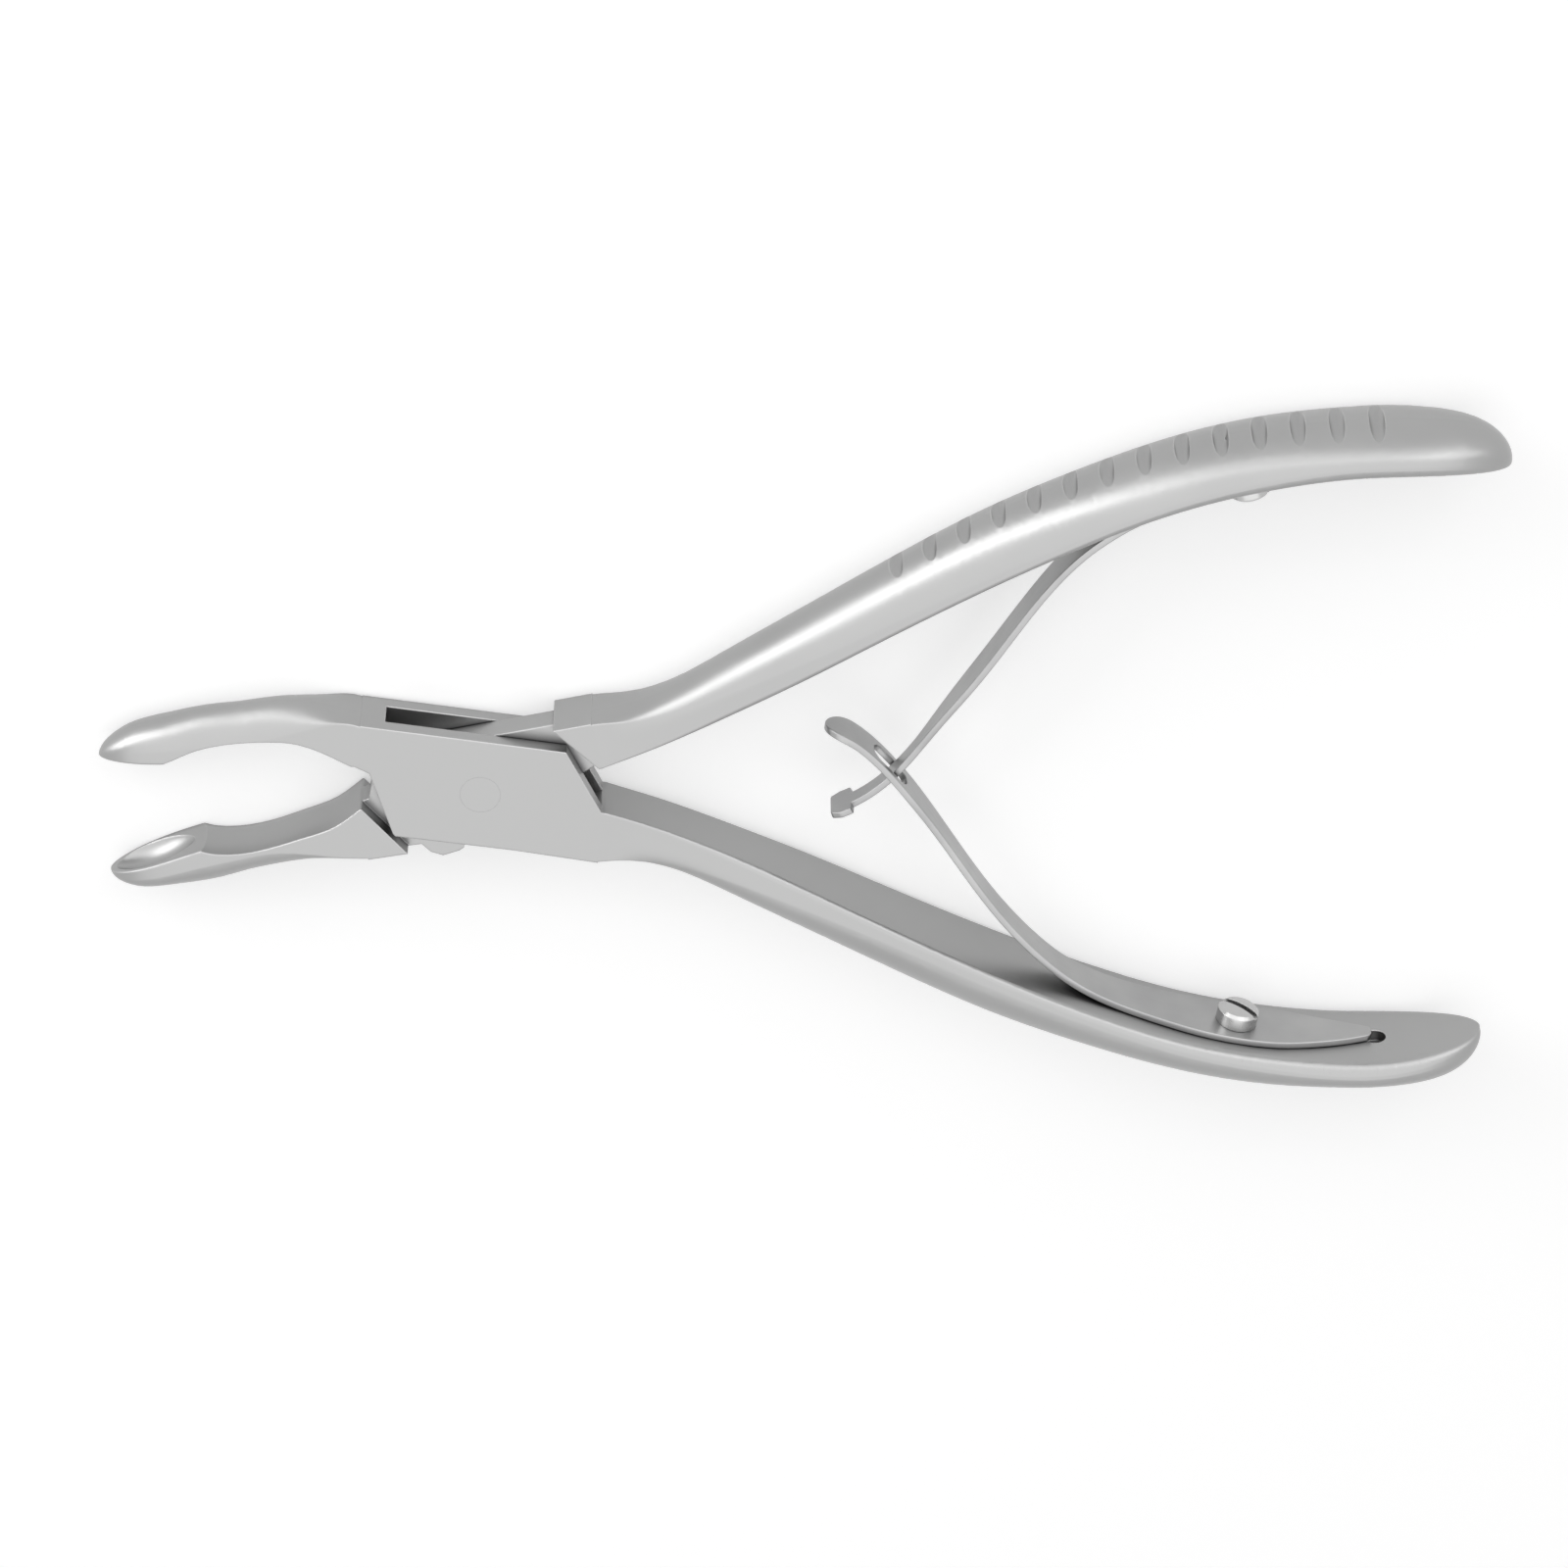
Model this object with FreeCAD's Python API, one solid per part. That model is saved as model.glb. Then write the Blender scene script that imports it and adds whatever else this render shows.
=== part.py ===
import FreeCAD, Part
import os
from math import acos, atan2, cos, degrees, hypot, radians, sin, sqrt

V = FreeCAD.Vector

# A bone rongeur: two crossed halves on a box lock, with a cupped jaw and a long
# handle each, pushed apart by a pair of leaf springs that hook into each other.
# Both halves are drawn closed, in one plane view: X runs from the pivot to the
# handles, -X to the jaws. The female half has the upper jaw and the lower
# handle, the male half has the lower jaw and the upper handle. At the end both
# are turned open about the pivot, half the opening angle each.

# Driving dimensions, in millimetres and degrees
opening_angle = 20.0

# Box lock
box_thickness = 5.9
box_half_height = 6.0
slot_width = 2.9
tongue_side_clearance = 0.08
tongue_drop = 0.55
hub_radius = 4.9
hub_clearance = 0.1
pin_radius = 2.0
pin_press_clearance = 0.01
pin_running_clearance = 0.04
jaw_shoulder_gaps = (0.75, 0.3)
handle_shoulder_gap = 0.5
stop_web_x = -0.75
stop_clearance = 0.04
lug_reach = 7.75
lug_corner_round = 0.4
root_crown_share = 0.02
root_edge_round = 0.03
slot_end_room = 1.5
slot_jaw_end = (-13.5, -1.0)
slot_floor_setback = 0.4
box_belly_x = (4.0, -7.75)
jaw_shoulder_drop = 0.15
tongue_handle_lap = 0.2

# Jaws
jaw_root_x = -12.6
female_jaw_root_inner = 1.45
male_jaw_root_inner = 0.75
jaw_heel_x = -29.7
upper_jaw_tip_x = -37.75
lower_jaw_tip_x = -38.5
jaw_rim_drop = 0.9
jaw_rim_slope = 0.173
jaw_closing_gap = 0.1
jaw_edge_round = 0.2
jaw_nose_length = 6.6
jaw_nose_depth_length = 4.0
cup_half_length = 4.4
cup_half_width = 2.2
cup_depth = 1.5
cup_end_wall = 0.45
relief_fade = 4.0

# Handles
handle_root_x = 12.5
handle_root_gap = 0.45
female_handle_root_outer = 6.3
male_handle_root_outer = 5.65
female_handle_extra_depth = 0.42
female_handle_end_x = 103.4
male_handle_end_x = 105.4
handle_nose_length = 12.0
handle_nose_depth_length = 5.5
handle_edge_round = 0.5
handle_edge_run = 14.0
handle_end_edge_round = 1.2
handle_end_round_from_x = 60.0
side_flat = 0.12
groove_count = 14
groove_first_x = 46.8
groove_pitch = 3.54
groove_half_width = 0.78
groove_depth = 0.58

# Leaf springs and their screws
leaf_thickness = 0.7
fork_root_width = 3.8
fork_arm_width = 3.3
spoon_width = 3.9
spoon_nose_x = 35.2
hook_root_width = 4.2
hook_arm_width = 3.8
leaf_seat_gap = 0.05
leaf_root_clearance = 0.05
leaf_tip_x = 92.7
catch_hole_x = 93.05
catch_hole_radius = 1.15
catch_hole_depth = 1.2
peg_x = 92.3
peg_radius = 0.4
peg_depth = 0.6
female_screw_x = 78.8
male_screw_x = 80.2
screw_head_radius = 2.1
screw_head_height = 1.9
screw_head_dome = 0.25
screw_head_bevel = 0.3
screw_slot_angle = 35.0
screw_slot_width = 0.7
screw_slot_depth = 0.7
screw_shank_radius = 1.2
screw_shank_length = 4.0
screw_end_bevel = 0.3
screw_end_room = 0.3
screw_hole_clearance = 0.05
leaf_hole_clearance = 0.15
screw_seat_gap = 0.03
fork_slot_length = 5.2
fork_slot_shift = 0.8
fork_slot_width = 2.4
neck_width = 1.9
neck_start_x = 43.2
neck_end_x = 34.3
hook_width = 4.0

# Worked out from the above
half_thickness = box_thickness / 2
slot_half = slot_width / 2
tongue_half = slot_half - tongue_side_clearance
hub_seat_radius = hub_radius + hub_clearance
half_opening = opening_angle / 2
quarter_pull = 0.5523
origin_point = V(0, 0, 0)
z_axis = V(0, 0, 1)

# Inner face of a handle, seen in plan, from the box lock to the free end
handle_face_points = [
    (handle_root_x, handle_root_gap),
    (20.8, 2.25),
    (33.0, 6.1),
    (45.5, 10.6),
    (56.0, 14.1),
    (68.3, 17.3),
    (76.5, 18.55),
    (84.0, 18.75),
    (92.3, 18.05),
    (100.0, 16.3),
    (106.0, 14.3),
]

# Handle sections: x on the inner face, width, depth, share of the depth that is crowned
handle_sections = [
    (17.0, 5.9, 4.35, 0.12),
    (22.0, 6.2, 4.2, 0.4),
    (27.0, 6.7, 4.6, 0.6),
    (33.0, 7.5, 4.9, 0.75),
    (39.0, 8.1, 5.05, 0.86),
    (47.0, 8.8, 5.2, 0.94),
    (56.0, 9.5, 5.25, 0.97),
    (65.0, 10.1, 4.9, 1.0),
    (74.0, 10.6, 4.6, 1.0),
    (83.0, 10.9, 4.35, 1.0),
    (91.0, 11.1, 3.9, 1.0),
]
nose_steps = (0.3, 0.55, 0.75, 0.89, 0.97, 0.997)

# Jaw sections: x, y of the outside, width, share of the depth that is crowned
upper_jaw_sections = [
    (jaw_root_x, 6.2, box_thickness, root_crown_share),
    (-15.5, 6.5, 5.8, 0.12),
    (-19.2, 6.6, 5.6, 0.45),
    (-22.5, 5.95, 5.4, 0.64),
    (-26.0, 4.95, 5.35, 0.72),
    (-29.0, 4.0, 5.35, 0.75),
]
lower_jaw_sections = [
    (jaw_root_x, -5.1, box_thickness, root_crown_share),
    (-15.5, -4.8, 5.8, 0.12),
    (-19.2, -4.75, 5.6, 0.4),
    (-22.5, -4.9, 5.45, 0.6),
    (-26.0, -5.15, 5.45, 0.66),
    (-29.0, -5.35, 5.5, 0.7),
]
upper_jaw_slope = 0.42
lower_jaw_slope = -0.07

# Hollowed undersides behind the cups, from the heel to the box lock
upper_relief_points = [(-31.6, -1.5), (-30.5, -0.85), (-29.5, -0.15), (-28.2, 0.65), (-26.3, 1.45)]
upper_relief_points += [(-24.5, 2.0), (-22.0, 2.5), (-19.2, 2.8), (-15.4, 1.95), (-12.9, 1.2), (-11.1, 0.9)]
lower_relief_points = [(-28.7, -0.5), (-27.8, -1.0), (-26.3, -1.45), (-23.8, -1.7), (-21.0, -1.5)]
lower_relief_points += [(-18.0, -1.0), (-15.2, -0.5), (-13.5, 0.1), (-11.9, 0.85)]

# How far the hollowed undersides fall away beside the middle plane
relief_fall = ((0.0, 0.0), (1.5, 0.06), (2.6, 0.3), (3.4, 0.7))

# Cheek edges of the box, where the shoulders of the other half come to rest
cheek_handle_edge = ((7.8, box_half_height), (12.1, -handle_root_gap))
cheek_jaw_edge = ((-11.1, 0.9), (-8.0, -5.75))
jaw_web_edge = ((-9.9, 7.5), (-11.3, 0.8))

# Shape of the tongue's jaw arm, and of the bottom of its stop lug behind the jaw
tongue_jaw_arm = [(-9.2, box_half_height - tongue_drop), (-11.15, 0.9), (jaw_root_x, 0.6)]
lug_bottom = [(-7.3, -5.35), (-6.6, -6.45), (-5.5, -7.1)]

# Centre lines of the free arms of the leaf springs, each in its own half's plan,
# from the flexing root to the end. They cross where the hook sits in the fork.
female_crossing = (40.28, 6.57)
female_arm_points = [(60.3, -13.9), (57.8, -12.15), (53.15, -8.0), (48.3, -2.5), (43.5, 3.2)]
female_arm_points += [female_crossing, (37.5, 9.0), (35.3, 10.35), (32.7, 10.9)]
male_arm_points = [(66.8, 15.5), (63.5, 13.8), (60.2, 11.4), (55.6, 7.1), (50.7, 2.2), (45.9, -2.35)]
male_arm_points += [(40.1, -7.61), (36.6, -9.6), (32.9, -10.5)]
foot_stations = (leaf_tip_x, 91.0, 87.0, 83.0, 79.5, 75.0, 71.0)
foot_widths = (1.2, 2.5, 4.6, 6.1, 6.4, 6.1, 5.4)
foot_clear_of_root = 3.5
lying_clear_of_root = 8.0


def curve_through(points):
    """A smooth plan curve through the given points."""
    curve = Part.BSplineCurve()
    curve.interpolate([V(x, y, 0) for x, y in points])
    return curve


def parameter_at_x(curve, x):
    """The parameter at which a curve that runs steadily along X reaches x."""
    low, high = curve.FirstParameter, curve.LastParameter
    rising = curve.value(high).x > curve.value(low).x
    for _ in range(50):
        middle = (low + high) / 2
        if (curve.value(middle).x < x) == rising:
            low = middle
        else:
            high = middle
    return (low + high) / 2


def unit(vector):
    result = V(vector)
    result.normalize()
    return result


def quarter_turn(start, corner, end):
    """A quarter of an ellipse between two edges that meet in a corner."""
    curve = Part.BezierCurve()
    curve.setPoles([start, start + (corner - start) * quarter_pull, end + (corner - end) * quarter_pull, end])
    return curve.toShape()


def crowned_section(inner, outward, depth, width, crown_share, edge_round):
    """A D-shaped wire: flat inner face with rounded edges, short sides and half an ellipse outside."""
    half = width / 2
    crown = (depth - edge_round) * max(root_crown_share, crown_share * (1 - side_flat))

    def both_sides(rise, inset):
        return [V(inner) + outward * rise + z_axis * (side * (half - inset)) for side in (1, -1)]

    foot, corner, waist = both_sides(0, edge_round), both_sides(0, 0), both_sides(edge_round, 0)
    shoulder, peak = both_sides(depth - crown, 0), both_sides(depth, 0)
    crest = V(inner) + outward * depth
    return Part.Wire([
        quarter_turn(foot[0], corner[0], waist[0]),
        Part.makeLine(waist[0], shoulder[0]),
        quarter_turn(shoulder[0], peak[0], crest),
        quarter_turn(crest, peak[1], shoulder[1]),
        Part.makeLine(shoulder[1], waist[1]),
        quarter_turn(waist[1], corner[1], foot[1]),
        Part.makeLine(foot[1], foot[0]),
    ])


def prism(outline, half):
    """A plate with the given plan outline of points, centred on the middle plane."""
    points = [V(x, y, -half) for x, y in outline]
    wire = Part.makePolygon(points + [points[0]])
    return Part.Face(wire).extrude(V(0, 0, 2 * half))


def cylinder_at(x, y, radius, half):
    return Part.makeCylinder(radius, 2 * half, V(x, y, -half), z_axis)


def mirrored(shape):
    """The same shape on the other side of the XZ plane."""
    return shape.mirror(origin_point, V(0, 1, 0))


def interpolated(table, x, column):
    """A value between the rows of a table that starts each row with x."""
    for first, second in zip(table, table[1:]):
        if first[0] <= x <= second[0]:
            share = (x - first[0]) / (second[0] - first[0])
            return first[column] + share * (second[column] - first[column])
    return table[-1][column]


def nose_share(step):
    """How wide and deep a rounded end still is at a step of its length."""
    return sqrt(1 - step * step)


handle_face = curve_through(handle_face_points)


def face_frame(x):
    """Point on the handle's inner face, its direction and its outward normal, upper handle."""
    at = parameter_at_x(handle_face, x)
    along = unit(handle_face.tangent(at)[0])
    return handle_face.value(at), along, V(-along.y, along.x, 0)


def handle_edge_radius(x):
    """Rounding of a handle's inner edges: sharp at the box lock, widest at the free end."""
    from_root = min(1, (x - handle_root_x) / handle_edge_run)
    to_end = (x - handle_end_round_from_x) / (handle_sections[-1][0] - handle_end_round_from_x)
    grown = root_edge_round + (handle_edge_round - root_edge_round) * from_root
    return grown + (handle_end_edge_round - handle_edge_round) * max(0, min(1, to_end))


def handle_body(end_x, root_outer, extra_depth):
    """The upper handle with a rounded end, before its grooves and holes."""
    nose_x = end_x - handle_nose_length
    root = V(handle_root_x, handle_root_gap, 0)
    root_depth = root_outer - handle_root_gap
    wires = [crowned_section(root, V(0, 1, 0), root_depth, box_thickness, root_crown_share, root_edge_round)]
    for x, width, depth, crown_share in handle_sections:
        if x < nose_x:
            point, along, outward = face_frame(x)
            wires.append(crowned_section(point, outward, depth + extra_depth, width, crown_share,
                                         handle_edge_radius(x)))
    width, depth, crown_share = handle_sections[-1][1:]
    for step in (0,) + nose_steps:
        x = nose_x + step * handle_nose_length
        share = nose_share(step)
        depth_share = nose_share(max(0, 1 - (end_x - x) / handle_nose_depth_length))
        point, along, outward = face_frame(x)
        wires.append(crowned_section(point, outward, (depth + extra_depth) * depth_share, width * share,
                                     crown_share, handle_edge_radius(x) * share))
    return Part.makeLoft(wires, True, False)


def handle_grooves(extra_depth):
    """Cross grooves over the crowned outside, each the sweep of a round wheel."""
    radius = (groove_half_width ** 2 + groove_depth ** 2) / (2 * groove_depth)
    cutters = []
    for index in range(groove_count):
        x = groove_first_x + index * groove_pitch
        point, along, outward = face_frame(x)
        depth = interpolated(handle_sections, x, 2) + extra_depth
        centre = point + outward * (depth - groove_depth + radius)
        cutters.append(Part.makeCylinder(radius, box_thickness * 2, centre - z_axis * box_thickness, z_axis))
    return cutters


def spring_seat_cuts(screw_x):
    """The screw's hole and the blind hole that catches the leaf's tip, so that it can't turn."""
    point, along, outward = face_frame(screw_x)
    hole_radius = screw_shank_radius + screw_hole_clearance
    hole = Part.makeCylinder(hole_radius, screw_shank_length + 1, point - outward, outward)
    point, along, outward = face_frame(catch_hole_x)
    catch_hole = Part.makeCylinder(catch_hole_radius, catch_hole_depth + 1, point - outward, outward)
    return [hole, catch_hole]


def finished_handle(end_x, root_outer, extra_depth, screw_x):
    handle = handle_body(end_x, root_outer, extra_depth)
    return handle.cut(handle_grooves(extra_depth) + spring_seat_cuts(screw_x))


def rim_y(x):
    """Height of the line on which the two jaw rims meet."""
    return -jaw_rim_drop + (x - jaw_heel_x) * jaw_rim_slope


def jaw_body(sections, root_inner_y, tip_x, slope, side):
    """A jaw with a flat inside on the meeting line and a crowned outside; side is 1 above it."""
    gap = side * jaw_closing_gap / 2
    heel_y = rim_y(jaw_heel_x) + gap
    outward = V(0, side, 0)
    wires = []
    for x, outer_y, width, crown_share in sections:
        share = (x - jaw_root_x) / (jaw_heel_x - jaw_root_x)
        inner_y = root_inner_y + share * (heel_y - root_inner_y)
        depth = abs(outer_y - inner_y)
        edge_round = jaw_edge_round if crown_share > root_crown_share else root_edge_round
        wires.append(crowned_section(V(x, inner_y, 0), outward, depth, width, crown_share, edge_round))
    last_x, last_outer_y, width, crown_share = sections[-1]
    nose_x = tip_x + jaw_nose_length
    for step in nose_steps:
        x = nose_x - step * jaw_nose_length
        share = nose_share(step)
        depth_share = nose_share(max(0, 1 - (x - tip_x) / jaw_nose_depth_length))
        inner_y = rim_y(x) + gap
        outer_y = last_outer_y + slope * (x - last_x)
        depth = abs(outer_y - inner_y) * depth_share
        wires.append(crowned_section(V(x, inner_y, 0), outward, depth, width * share, crown_share,
                                     jaw_edge_round * share))
    return Part.makeLoft(wires, True, False)


def cup_cutter(tip_x, side):
    """A spoon-shaped hollow in a jaw's rim: an arc turned about a line beyond the rim."""
    centre_x = tip_x + cup_end_wall + cup_half_length
    across_radius = (cup_half_width ** 2 + cup_depth ** 2) / (2 * cup_depth)
    along_radius = (cup_half_length ** 2 + cup_depth ** 2) / (2 * cup_depth)
    lift = across_radius - cup_depth
    reach = sqrt(along_radius ** 2 - (along_radius - across_radius) ** 2)
    arc = Part.Arc(V(-reach, 0, 0), V(0, across_radius, 0), V(reach, 0, 0)).toShape()
    axis = Part.makeLine(V(reach, 0, 0), V(-reach, 0, 0))
    hollow = Part.Face(Part.Wire([arc, axis])).revolve(origin_point, V(1, 0, 0), 360)
    hollow.translate(V(0, -side * lift, 0))
    hollow.rotate(origin_point, z_axis, degrees(atan2(jaw_rim_slope, 1)))
    hollow.translate(V(centre_x, rim_y(centre_x), 0))
    return hollow


def relief_cutter(points, side):
    """Takes away the space between the jaws behind the cups; its walls fall away to both flanks."""
    far = -side * 5
    heights = [(-z, fall) for z, fall in reversed(relief_fall[1:])] + list(relief_fall)
    wires = []
    for z, fall in heights:
        fading = [min(1, (points[-1][0] - x) / relief_fade) for x, y in points]
        curve = curve_through([(x, y + side * fall * fade) for (x, y), fade in zip(points, fading)])
        start, end = curve.StartPoint, curve.EndPoint
        corners = [end, V(end.x, far, 0), V(start.x, far, 0), start]
        wire = Part.Wire([curve.toShape()] + [Part.makeLine(a, b) for a, b in zip(corners, corners[1:])])
        wire.translate(V(0, 0, z))
        wires.append(wire)
    return Part.makeLoft(wires, True, False)


def tangent_point(x, y, radius):
    """Where a line from (x, y) touches a circle about the pivot, on its lower side."""
    angle = atan2(y, x) - acos(radius / hypot(x, y))
    return radius * cos(angle), radius * sin(angle)


def hub_arc(start_angle, end_angle, radius, count=9):
    """Points of an arc about the pivot, angles in degrees."""
    step = (end_angle - start_angle) / (count - 1)
    angles = [radians(start_angle + index * step) for index in range(count)]
    return [(radius * cos(angle), radius * sin(angle)) for angle in angles]


def turned(x, y, angle):
    a = radians(angle)
    return x * cos(a) - y * sin(a), x * sin(a) + y * cos(a)


def shifted_edge(edge, first_gap, second_gap):
    """A cheek edge with its ends moved away from the pivot, each by its own gap."""
    (x0, y0), (x1, y1) = edge
    length = hypot(x1 - x0, y1 - y0)
    normal_x, normal_y = (y1 - y0) / length, -(x1 - x0) / length
    if normal_x * x0 + normal_y * y0 < 0:
        normal_x, normal_y = -normal_x, -normal_y
    first = (x0 + normal_x * first_gap, y0 + normal_y * first_gap)
    second = (x1 + normal_x * second_gap, y1 + normal_y * second_gap)
    return first, second


def along_edge(edge, y):
    (x0, y0), (x1, y1) = edge
    return x0 + (x1 - x0) * (y - y0) / (y1 - y0), y


def box_slot():
    """The slot through the box: open to the jaw side, to the handle side and above."""
    wall = box_half_height + slot_end_room
    web_top = -sqrt(hub_seat_radius ** 2 - stop_web_x ** 2)
    web_angle = degrees(atan2(web_top, stop_web_x))
    floor_end = (handle_root_x - slot_floor_setback, -handle_root_gap)
    tangent = tangent_point(floor_end[0], floor_end[1], hub_seat_radius)
    tangent_angle = degrees(atan2(tangent[1], tangent[0]))
    outline = [jaw_web_edge[0], jaw_web_edge[1], slot_jaw_end, (slot_jaw_end[0], -wall), (stop_web_x, -wall)]
    outline += hub_arc(web_angle, tangent_angle, hub_seat_radius)
    outline += [floor_end, (handle_root_x + 1, -handle_root_gap + 0.2), (handle_root_x + 1, wall)]
    return prism(outline, slot_half)


def female_half():
    """Upper jaw, box with its two cheeks, and lower handle."""
    top = upper_jaw_sections[0][1]
    plate = prism([
        (jaw_root_x, top), cheek_handle_edge[0], cheek_handle_edge[1],
        (handle_root_x, -handle_root_gap), (handle_root_x, -female_handle_root_outer),
        (box_belly_x[0], -box_half_height), (box_belly_x[1], -box_half_height),
        cheek_jaw_edge[1], cheek_jaw_edge[0],
        (jaw_root_x, female_jaw_root_inner),
    ], half_thickness)
    jaw = jaw_body(upper_jaw_sections, female_jaw_root_inner, upper_jaw_tip_x, upper_jaw_slope, 1)
    handle = finished_handle(female_handle_end_x, female_handle_root_outer, female_handle_extra_depth,
                             female_screw_x)
    body = plate.fuse([jaw, mirrored(handle)])
    cuts = [box_slot(), relief_cutter(upper_relief_points, 1), cup_cutter(upper_jaw_tip_x, 1)]
    cuts.append(cylinder_at(0, 0, pin_radius + pin_press_clearance, box_thickness))
    return body.cut(cuts).removeSplitter()


def tongue_outline():
    """Plan of the tongue: hub, arm to the jaw, arm to the handle and the stop lug."""
    top = box_half_height - tongue_drop
    flank_x = stop_web_x - stop_clearance
    flank_inner = turned(flank_x, -sqrt(hub_radius ** 2 - flank_x ** 2), -opening_angle)
    flank_outer = turned(flank_x, -lug_reach + lug_corner_round, -opening_angle)
    lug_corner = turned(flank_x - lug_corner_round, -lug_reach, -opening_angle)
    hub_start = degrees(atan2(flank_inner[1], flank_inner[0]))
    tangent = tangent_point(handle_root_x, handle_root_gap, hub_radius)
    hub_end = degrees(atan2(tangent[1], tangent[0]))
    jaw_bottom = lower_jaw_sections[0][1]
    outline = [(handle_root_x - tongue_handle_lap, top)] + tongue_jaw_arm + [(jaw_root_x, jaw_bottom)]
    outline += lug_bottom + [lug_corner, flank_outer]
    outline += hub_arc(hub_start, hub_end, hub_radius)
    outline += [(handle_root_x, handle_root_gap)]
    return outline


def male_half():
    """Lower jaw, tongue through the box, and upper handle."""
    jaw_inner = male_jaw_root_inner
    jaw_bottom = lower_jaw_sections[0][1]
    jaw_edge = shifted_edge(cheek_jaw_edge, jaw_shoulder_gaps[0], jaw_shoulder_gaps[1])
    handle_edge = shifted_edge(cheek_handle_edge, handle_shoulder_gap, handle_shoulder_gap)
    jaw_root = prism([
        (jaw_root_x, jaw_inner), along_edge(jaw_edge, jaw_inner),
        along_edge(jaw_edge, jaw_bottom - jaw_shoulder_drop), (jaw_root_x, jaw_bottom),
    ], half_thickness)
    handle_root = prism([
        along_edge(handle_edge, male_handle_root_outer), (handle_root_x, male_handle_root_outer),
        (handle_root_x, handle_root_gap), along_edge(handle_edge, handle_root_gap),
    ], half_thickness)
    tongue = prism(tongue_outline(), tongue_half)
    jaw = jaw_body(lower_jaw_sections, jaw_inner, lower_jaw_tip_x, lower_jaw_slope, -1)
    handle = finished_handle(male_handle_end_x, male_handle_root_outer, 0, male_screw_x)
    body = tongue.fuse([jaw_root, handle_root, jaw, handle])
    cuts = [relief_cutter(lower_relief_points, -1), cup_cutter(lower_jaw_tip_x, -1)]
    cuts.append(cylinder_at(0, 0, pin_radius + pin_running_clearance, box_thickness))
    return body.cut(cuts).removeSplitter()


def pivot_pin():
    """A plain pin, ground flush with both cheeks."""
    return cylinder_at(0, 0, pin_radius, half_thickness)


def leaf_centre(x):
    """Centre of the leaf's thickness where it lies on the upper handle's inner face."""
    point, along, outward = face_frame(x)
    return point - outward * (leaf_seat_gap + leaf_thickness / 2)


def leaf_path(arm_points, side):
    """Centre line of a whole leaf: along the handle's face, then out along the free arm."""
    root_x = arm_points[0][0]
    lying = [leaf_centre(x) for x in foot_stations if x > root_x + lying_clear_of_root]
    return curve_through([(p.x, side * p.y) for p in lying] + arm_points)


def strip(path, stations):
    """A flat strip along a path; each station is an x and the width there."""
    wires = []
    for x, width in stations:
        at = parameter_at_x(path, x)
        centre = path.value(at)
        along = unit(path.tangent(at)[0])
        across = V(-along.y, along.x, 0) * (leaf_thickness / 2)
        side = z_axis * (width / 2)
        upper, lower = centre + across, centre - across
        corners = [upper + side, upper - side, lower - side, lower + side]
        wires.append(Part.makePolygon(corners + [corners[0]]))
    return Part.makeLoft(wires, True, False)


def leaf_foot(path, arm_points, arm_width, screw_x, side):
    """The clamped end: its tip pegged in the catch hole, widest under the screw, cut round at the root."""
    root_x, root_y = arm_points[0]
    stations = [(x, w) for x, w in zip(foot_stations, foot_widths) if x > root_x + foot_clear_of_root]
    stations.append((root_x + 2.5, arm_width + 0.45))
    stations.append((root_x, arm_width))
    foot = strip(path, stations)
    point, along, outward = face_frame(screw_x)
    hole = Part.makeCylinder(screw_shank_radius + leaf_hole_clearance, 4, point - outward * 3, outward)
    point, along, outward = face_frame(peg_x)
    lift = leaf_seat_gap + leaf_thickness / 2
    peg = Part.makeCylinder(peg_radius, lift + peg_depth, point - outward * lift, outward)
    if side < 0:
        hole, peg = mirrored(hole), mirrored(peg)
    socket = cylinder_at(root_x, root_y, leaf_thickness / 2 + leaf_root_clearance, box_thickness)
    return foot.fuse(peg).cut([hole, socket])


def leaf_root(root, width):
    """The rounded root on which the free arm turns in the foot's hollow end."""
    return cylinder_at(root[0], root[1], leaf_thickness / 2, width / 2)


def fork_arm():
    """Free arm of the lower leaf: rounded spoon end with a lengthwise slot."""
    path = leaf_path(female_arm_points, -1)
    root = female_arm_points[0]
    end_x = female_arm_points[-1][0]
    stations = [(root[0], fork_root_width), (57.0, 3.5), (52.0, fork_arm_width), (47.0, fork_arm_width)]
    stations += [(44.5, 3.6), (42.5, 4.0), (40.5, spoon_width), (spoon_nose_x, spoon_width)]
    nose = spoon_nose_x - end_x
    for step in (0.4, 0.7, 0.9, 0.98):
        stations.append((spoon_nose_x - step * nose, spoon_width * nose_share(step)))
    blade = strip(path, stations).fuse(leaf_root(root, fork_root_width))
    at = parameter_at_x(path, female_crossing[0])
    along = unit(path.tangent(at)[0])
    through = V(-along.y, along.x, 0)
    half = fork_slot_length / 2 - fork_slot_width / 2
    centre = path.value(at) + along * fork_slot_shift * (1 if along.x < 0 else -1)
    ends = [centre + along * half, centre - along * half]
    cuts = [Part.makeCylinder(fork_slot_width / 2, 4, end - through * 2, through) for end in ends]
    bar = Part.makeBox(2 * half, 4, fork_slot_width, V(-half, -2, -fork_slot_width / 2))
    bar.rotate(origin_point, z_axis, degrees(atan2(along.y, along.x)))
    bar.translate(centre)
    return blade.cut(cuts + [bar])


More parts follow.
